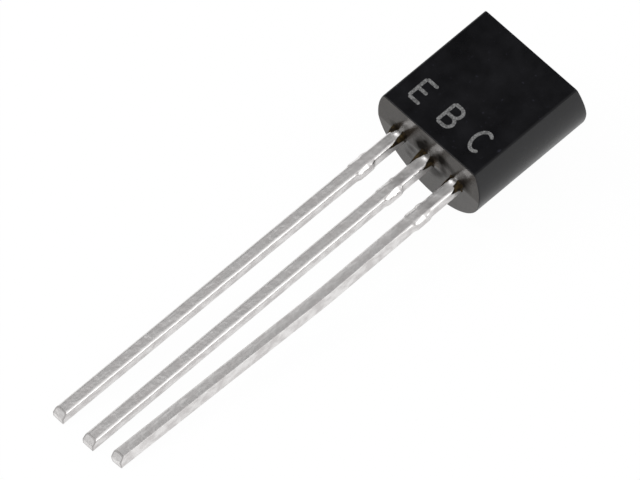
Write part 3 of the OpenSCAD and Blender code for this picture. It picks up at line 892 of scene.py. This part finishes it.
def matt_tin(tin, dull_tin):
    """Matt tin plated on stamped copper alloy: bright grey metal with a crystalline mottle and
    fine lines from rolling along the lead. The burnish attribute makes it smoother and brighter
    where the tools burnished it, and darker where they dulled it. The brighter tone is also a
    painted highlight on the round front edges, the facets, the bead and the front by the
    moulding, and the darker tone is a painted shade along the twisted lead's sharp edge."""
    material, tree = new_material("matt_tin")
    burnish_and_painted_light = add_node(tree, "ShaderNodeAttribute", output="Fac", attribute_name="burnish_and_painted_light")
    # tin's crystals are below 0.01 mm and rolling lines about 0.02 mm apart, and both are drawn
    # coarser, so that they show
    patch_mm, line_mm, grain_mm = 0.25, 0.09, 0.16
    patches = add_node(tree, "ShaderNodeTexNoise", {
        "Vector": package_mm(tree, (1, 0.6, 1)), "Scale": 1 / patch_mm, "Detail": 2.0,
        "Roughness": 0.5})
    gloss_and_highlight = add_node(tree, "ShaderNodeMath", {
        0: add_node(tree, "ShaderNodeMapRange", {
            "Value": patches, "From Min": 0.4, "From Max": 0.6, "To Min": 0.4}),
        1: burnish_and_painted_light}, operation="MULTIPLY")
    lines = add_node(tree, "ShaderNodeTexNoise", {
        "Vector": package_mm(tree, (1, 0.08, 1)), "Scale": 1 / line_mm, "Detail": 1.0})
    grain = add_node(tree, "ShaderNodeTexNoise", {
        "Vector": package_mm(tree), "Scale": 1 / grain_mm, "Detail": 1.0})
    # lighter tin where the mottle runs light, and a painted highlight where the attribute is
    # positive
    mottle_and_highlight = add_node(tree, "ShaderNodeMath", {
        0: add_node(tree, "ShaderNodeMapRange", {
            "Value": patches, "From Min": 0.38, "From Max": 0.62}), 1: burnish_and_painted_light},
        operation="MAXIMUM")
    tone = add_node(tree, "ShaderNodeMix", {
        SHARE: mottle_and_highlight, FIRST: rgba(dull_tin), SECOND: rgba(tin)}, MIXED, data_type="RGBA")
    # darker tin where it was dulled, and painted shade along the twisted lead's sharp edge
    tone = add_node(tree, "ShaderNodeMix", {
        SHARE: add_node(tree, "ShaderNodeMapRange", {
            "Value": burnish_and_painted_light, "From Min": -1.0, "From Max": 0.0, "To Min": 1.0, "To Max": 0.0}),
        FIRST: tone, SECOND: rgba(dull_tin, 0.75)}, MIXED, data_type="RGBA")
    rough = add_node(tree, "ShaderNodeMapRange", {
        "Value": mottle_and_highlight, "To Min": 0.41, "To Max": 0.36})
    rough = add_node(tree, "ShaderNodeMapRange", {
        "Value": gloss_and_highlight, "To Min": rough, "To Max": 0.25})
    bump = add_node(tree, "ShaderNodeBump", {
        "Strength": 0.4, "Distance": 0.012 * MM, "Height": lines})
    bump = add_node(tree, "ShaderNodeBump", {
        "Strength": 0.35, "Distance": 0.02 * MM, "Height": grain, "Normal": bump})
    bump = add_node(tree, "ShaderNodeBump", {
        "Strength": 0.55, "Distance": 0.03 * MM, "Height": patches, "Normal": bump})
    shader = add_node(tree, "ShaderNodeBsdfPrincipled", {
        "Base Color": tone, "Metallic": 1.0, "Roughness": rough, "Normal": bump})
    add_node(tree, "ShaderNodeOutputMaterial", {"Surface": shader})
    return material


def laser_ash(mark):
    """Laser marking: the beam foams the black resin's surface to a matt grey of fine dots."""
    material, tree = new_material("laser_ash")
    dot_mm = 0.06
    dots = add_node(tree, "ShaderNodeTexVoronoi", {
        "Vector": package_mm(tree), "Scale": 1 / dot_mm}, "Distance")
    tone = add_node(tree, "ShaderNodeMix", {
        SHARE: add_node(tree, "ShaderNodeMapRange", {
            "Value": dots, "From Min": 0.2, "From Max": 0.75}),
        FIRST: rgba(mark, 1.15), SECOND: rgba(mark, 0.45)}, MIXED, data_type="RGBA")
    shader = add_node(tree, "ShaderNodeBsdfPrincipled", {
        "Base Color": tone, "Roughness": 0.85, "IOR": 1.5})
    add_node(tree, "ShaderNodeOutputMaterial", {"Surface": shader})
    return material


def polished_silicon(tone, etched):
    """Silicon die, sawn from a polished wafer: grey-blue with a mirror gloss, and faint steps
    where its layers were etched."""
    material, tree = new_material("polished_silicon")
    # the etched steps are about 0.01 mm wide, and are drawn coarser so that they show
    step_mm = 0.06
    steps = add_node(tree, "ShaderNodeTexNoise", {
        "Vector": package_mm(tree), "Scale": 1 / step_mm, "Detail": 1.0})
    tone = add_node(tree, "ShaderNodeMix", {
        SHARE: add_node(tree, "ShaderNodeMapRange", {
            "Value": steps, "From Min": 0.45, "From Max": 0.55}),
        FIRST: rgba(etched), SECOND: rgba(tone)}, MIXED, data_type="RGBA")
    rough = add_node(tree, "ShaderNodeMapRange", {
        "Value": steps, "From Min": 0.3, "From Max": 0.7, "To Min": 0.12, "To Max": 0.25})
    shader = add_node(tree, "ShaderNodeBsdfPrincipled", {
        "Base Color": tone, "Roughness": rough, "IOR": 3.9})
    add_node(tree, "ShaderNodeOutputMaterial", {"Surface": shader})
    return material


def soft_metal(name, tone, low, high):
    """Soft solder or gold wire: a plain metal whose gloss changes in small patches, from the
    smoothest to the roughest of two roughness values."""
    material, tree = new_material(name)
    patch_mm = 0.05
    patches = add_node(tree, "ShaderNodeTexNoise", {
        "Vector": package_mm(tree), "Scale": 1 / patch_mm, "Detail": 2.0})
    tone = add_node(tree, "ShaderNodeMix", {
        SHARE: patches, FIRST: rgba(tone, 0.85), SECOND: rgba(tone)}, MIXED, data_type="RGBA")
    rough = add_node(tree, "ShaderNodeMapRange", {
        "Value": patches, "From Min": 0.3, "From Max": 0.7, "To Min": low, "To Max": high})
    shader = add_node(tree, "ShaderNodeBsdfPrincipled", {
        "Base Color": tone, "Metallic": 1.0, "Roughness": rough})
    add_node(tree, "ShaderNodeOutputMaterial", {"Surface": shader})
    return material


def seen_ray(tree, mirrored):
    """1 for rays from the camera and through glass, the mirrored share for reflections, and 0
    for the rays that light the part."""
    camera, glossy, glass = [
        add_node(tree, "ShaderNodeLightPath", output=kind)
        for kind in ("Is Camera Ray", "Is Glossy Ray", "Is Transmission Ray")]
    glossy = add_node(tree, "ShaderNodeMath", {0: glossy, 1: mirrored}, operation="MULTIPLY")
    seen = add_node(tree, "ShaderNodeMath", {0: camera, 1: glossy}, operation="MAXIMUM")
    return add_node(tree, "ShaderNodeMath", {0: seen, 1: glass}, operation="MAXIMUM")


def paper_floor(tone, glow, mirrored):
    """Matt white paper. The eye sees most of it at plain white, and the rest of it carries the
    part's soft shadow. Reflections see more of that shadow."""
    material, tree = new_material("white_paper")
    paper = add_node(tree, "ShaderNodeBsdfPrincipled", {
        "Base Color": rgba(tone), "Roughness": 0.9, "Specular IOR Level": 0.0})
    white = add_node(tree, "ShaderNodeEmission", {"Color": (1, 1, 1, 1), "Strength": 1.0})
    part = add_node(tree, "ShaderNodeMath", {
        0: seen_ray(tree, mirrored), 1: glow}, operation="MULTIPLY")
    mixed = add_node(tree, "ShaderNodeMixShader", {0: part, 1: paper, 2: white})
    add_node(tree, "ShaderNodeOutputMaterial", {"Surface": mixed})
    return material


def white_room(scene, stage):
    """World of white walls with a round black card overhead, which keeps the flat deep. On the
    side that the leads point to, the wall darkens to grey towards the floor, which the leads
    mirror when they are seen from the closed end."""
    world = bpy.data.worlds.new("white_room")
    world.use_nodes = True
    tree = world.node_tree
    tree.nodes.clear()
    towards = add_node(tree, "ShaderNodeTexCoord", output="Generated")
    # Y and Z of the directions between which the grey wall fades out
    grey_side, grey_height = (-0.5, -0.2), (0.08, 0.26)
    off_card = add_node(tree, "ShaderNodeMath", {
        0: add_node(tree, "ShaderNodeVectorMath", {
            0: towards, 1: Vector(stage.card_place).normalized()}, "Value",
            operation="DOT_PRODUCT")}, operation="ARCCOSINE")
    wall = add_node(tree, "ShaderNodeMapRange", {
        "Value": off_card, "From Min": stage.card_edge,
        "From Max": stage.card_edge + stage.card_soft, "To Min": stage.card, "To Max": 1.0})
    ahead = add_node(tree, "ShaderNodeMapRange", {
        "Value": add_node(tree, "ShaderNodeSeparateXYZ", {"Vector": towards}, "Y"),
        "From Min": grey_side[0], "From Max": grey_side[1], "To Min": 1.0, "To Max": 0.0})
    low = add_node(tree, "ShaderNodeMapRange", {
        "Value": add_node(tree, "ShaderNodeSeparateXYZ", {"Vector": towards}, "Z"),
        "From Min": grey_height[0], "From Max": grey_height[1], "To Min": ahead, "To Max": 0.0})
    wall = add_node(tree, "ShaderNodeMapRange", {
        "Value": low, "To Min": wall, "To Max": stage.low_wall})
    shade = add_node(tree, "ShaderNodeBackground", {"Color": (1, 1, 1, 1), "Strength": wall})
    add_node(tree, "ShaderNodeOutputWorld", {"Surface": shade})
    scene.world = world


# ---------------------------------------------------------------- operators

def ride(obj, slot, *nodes):
    """Puts a piece on the part's one body and hides the nodes it replaces. The slot is not used."""
    if nodes:
        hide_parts(*nodes)
    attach(obj, "root")


class TRANSISTOR_OT_moulding(bpy.types.Operator):
    """Makes the D-shaped epoxy moulding with its drafted end faces and the gate's remains"""
    bl_idname = "transistor.moulding"
    bl_label = "Moulding"

    def execute(self, context):
        mould = settings("moulding")
        shape, slots = moulding_skin()
        resins = [eroded_epoxy(mould.resin), smooth_epoxy(mould.end_resin)]
        ride(piece("moulding", [shape], resins, slots=slots), "moulding", "body")
        return {"FINISHED"}


class TRANSISTOR_OT_leads(bpy.types.Operator):
    """Makes the three tinned leads with their posts and flag inside the moulding"""
    bl_idname = "transistor.leads"
    bl_label = "Leads"

    def execute(self, context):
        lead = settings("leads")
        tin = matt_tin(lead.tin, lead.dull_tin)
        for index, name in enumerate(LEADS):
            plates, riser = frame_plates(index)
            shank, burnish_and_painted_light = lead_skin(index, riser)
            rest = sum(len(points) for points, _ in plates)
            pin = piece(name + "_pin", [shank] + plates, [tin], sharp=35,
                        burnish_and_painted_light=np.concatenate([burnish_and_painted_light, np.zeros(rest)]))
            ride(pin, "lead", name + "_lead")
        return {"FINISHED"}


class TRANSISTOR_OT_crept(bpy.types.Operator):
    """Makes the thin resin that crept out round the root of each lead"""
    bl_idname = "transistor.crept"
    bl_label = "Crept resin"

    def execute(self, context):
        crept = settings("crept")
        resin = crept_resin(crept.tone, crept.amber)
        for index, name in enumerate(LEADS):
            collar = piece(name + "_collar", [crept_skin(index)], [resin], sharp=60)
            ride(collar, "moulding", "body")
        return {"FINISHED"}


class TRANSISTOR_OT_letters(bpy.types.Operator):
    """Marks the flat above each lead with the letter of its terminal: E, B and C"""
    bl_idname = "transistor.letters"
    bl_label = "Terminal letters"

    def execute(self, context):
        letter = settings("letters")
        skins = []
        for index, strokes in enumerate(letter_paths()):
            middle = ((index - BASE) * settings("leads").pitch, letter.at + letter.height / 2)
            # where two strokes cross, one lies a little higher
            skins += [stroke_skin(np.asarray(path) + middle, letter.lift * (1 + 0.2 * k))
                      for k, path in enumerate(strokes)]
        ride(piece("terminal_letters", skins, [laser_ash(letter.mark)]), "moulding")
        return {"FINISHED"}


class TRANSISTOR_OT_inside(bpy.types.Operator):
    """Finishes the die, its solder and the bond wires that the moulding seals in"""
    bl_idname = "transistor.inside"
    bl_label = "Die and bond wires"

    def execute(self, context):
        inner = settings("frame")
        silicon = polished_silicon(inner.silicon, inner.etched)
        solder = soft_metal("die_solder_alloy", inner.solder, 0.35, 0.55)
        gold = soft_metal("drawn_gold", inner.gold, 0.18, 0.3)
        for node, material in (("die", silicon), ("die_solder", solder),
                               ("emitter_wire", gold), ("base_wire", gold)):
            mesh = frame["nodes"][node].data
            mesh.materials.clear()
            mesh.materials.append(material)
        return {"FINISHED"}


class TRANSISTOR_OT_stage(bpy.types.Operator):
    """Makes the floor, the soft lamps, the white room and the camera"""
    bl_idname = "transistor.stage"
    bl_label = "Studio stage"

    def execute(self, context):
        stage = settings("stage")
        scene = context.scene
        scene.view_settings.view_transform = "Standard"
        mesh = bpy.data.meshes.new("floor")
        corners = stage.floor_size * np.array([(-1, -1, 0), (1, -1, 0), (1, 1, 0), (-1, 1, 0)])
        mesh.from_pydata(corners.tolist(), [], [(0, 1, 2, 3)])
        mesh.materials.append(paper_floor(stage.floor, stage.floor_glow, stage.floor_mirrored))
        floor = bpy.data.objects.new("floor", mesh)
        scene.collection.objects.link(floor)
        white_room(scene, stage)
        for name, place, power in (("key_lamp", stage.key_place, stage.key_power),
                                   ("side_lamp", stage.side_place, stage.side_power)):
            lamp = bpy.data.lights.new(name, "AREA")
            lamp.size, lamp.energy = stage.lamp_size, power
            obj = bpy.data.objects.new(name, lamp)
            turn = Vector(place).to_track_quat("Z", "Y").to_matrix().to_4x4()
            obj.matrix_world = Matrix.Translation(place) @ turn
            scene.collection.objects.link(obj)
        scene.camera = studio_camera(stage)
        scene.collection.objects.link(scene.camera)
        return {"FINISHED"}


def studio_camera(stage):
    """Camera at the stage's distance from its target. Its axes are the direction towards it, a
    level direction to its right and the one square to both, turned by the roll."""
    data = bpy.data.cameras.new("camera")
    data.sensor_width, data.lens = stage.sensor, stage.lens
    data.clip_start, data.clip_end = stage.distance / 10, 10 * stage.distance
    camera = bpy.data.objects.new("camera", data)
    a, e = stage.azimuth, stage.elevation
    towards = Vector((math.sin(a) * math.cos(e), -math.cos(a) * math.cos(e), math.sin(e)))
    right = Vector((math.cos(a), math.sin(a), 0))
    turn = Matrix((right, towards.cross(right), towards)).transposed().to_4x4()
    place = Vector(stage.target) + towards * stage.distance
    roll = Matrix.Rotation(stage.roll, 4, "Z")
    camera.matrix_world = Matrix.Translation(place) @ turn @ roll
    return camera


class TRANSISTOR_PT_panel(bpy.types.Panel):
    """Sizes, colours and pieces of the transistor"""
    bl_idname = "TRANSISTOR_PT_panel"
    bl_label = "Transistor"
    bl_space_type = "VIEW_3D"
    bl_region_type = "UI"
    bl_category = "Transistor"

    def draw(self, context):
        for name, (group, operators) in GROUPS.items():
            box = self.layout.box()
            for size in group.__annotations__:
                box.prop(settings(name), size)
            for operator in operators:
                box.operator(operator.bl_idname)


GROUPS = {
    "moulding": (MouldingProps, [TRANSISTOR_OT_moulding]),
    "crept": (CreptProps, [TRANSISTOR_OT_crept]),
    "leads": (LeadProps, [TRANSISTOR_OT_leads]),
    "frame": (FrameProps, [TRANSISTOR_OT_inside]),
    "letters": (LetterProps, [TRANSISTOR_OT_letters]),
    "stage": (StageProps, [TRANSISTOR_OT_stage]),
}


def register():
    for name, (group, operators) in GROUPS.items():
        for cls in (group, *operators):
            bpy.utils.register_class(cls)
        setattr(bpy.types.Scene, "transistor_" + name, PointerProperty(type=group))
    bpy.utils.register_class(TRANSISTOR_PT_panel)


def unregister():
    bpy.utils.unregister_class(TRANSISTOR_PT_panel)
    for name, (group, operators) in reversed(GROUPS.items()):
        delattr(bpy.types.Scene, "transistor_" + name)
        for cls in (*operators, group):
            bpy.utils.unregister_class(cls)


def main():
    """Makes the stage and the pieces."""
    register()
    bpy.ops.transistor.stage()
    bpy.ops.transistor.moulding()
    bpy.ops.transistor.leads()
    bpy.ops.transistor.crept()
    bpy.ops.transistor.letters()
    bpy.ops.transistor.inside()


if __name__ == "__main__":
    main()
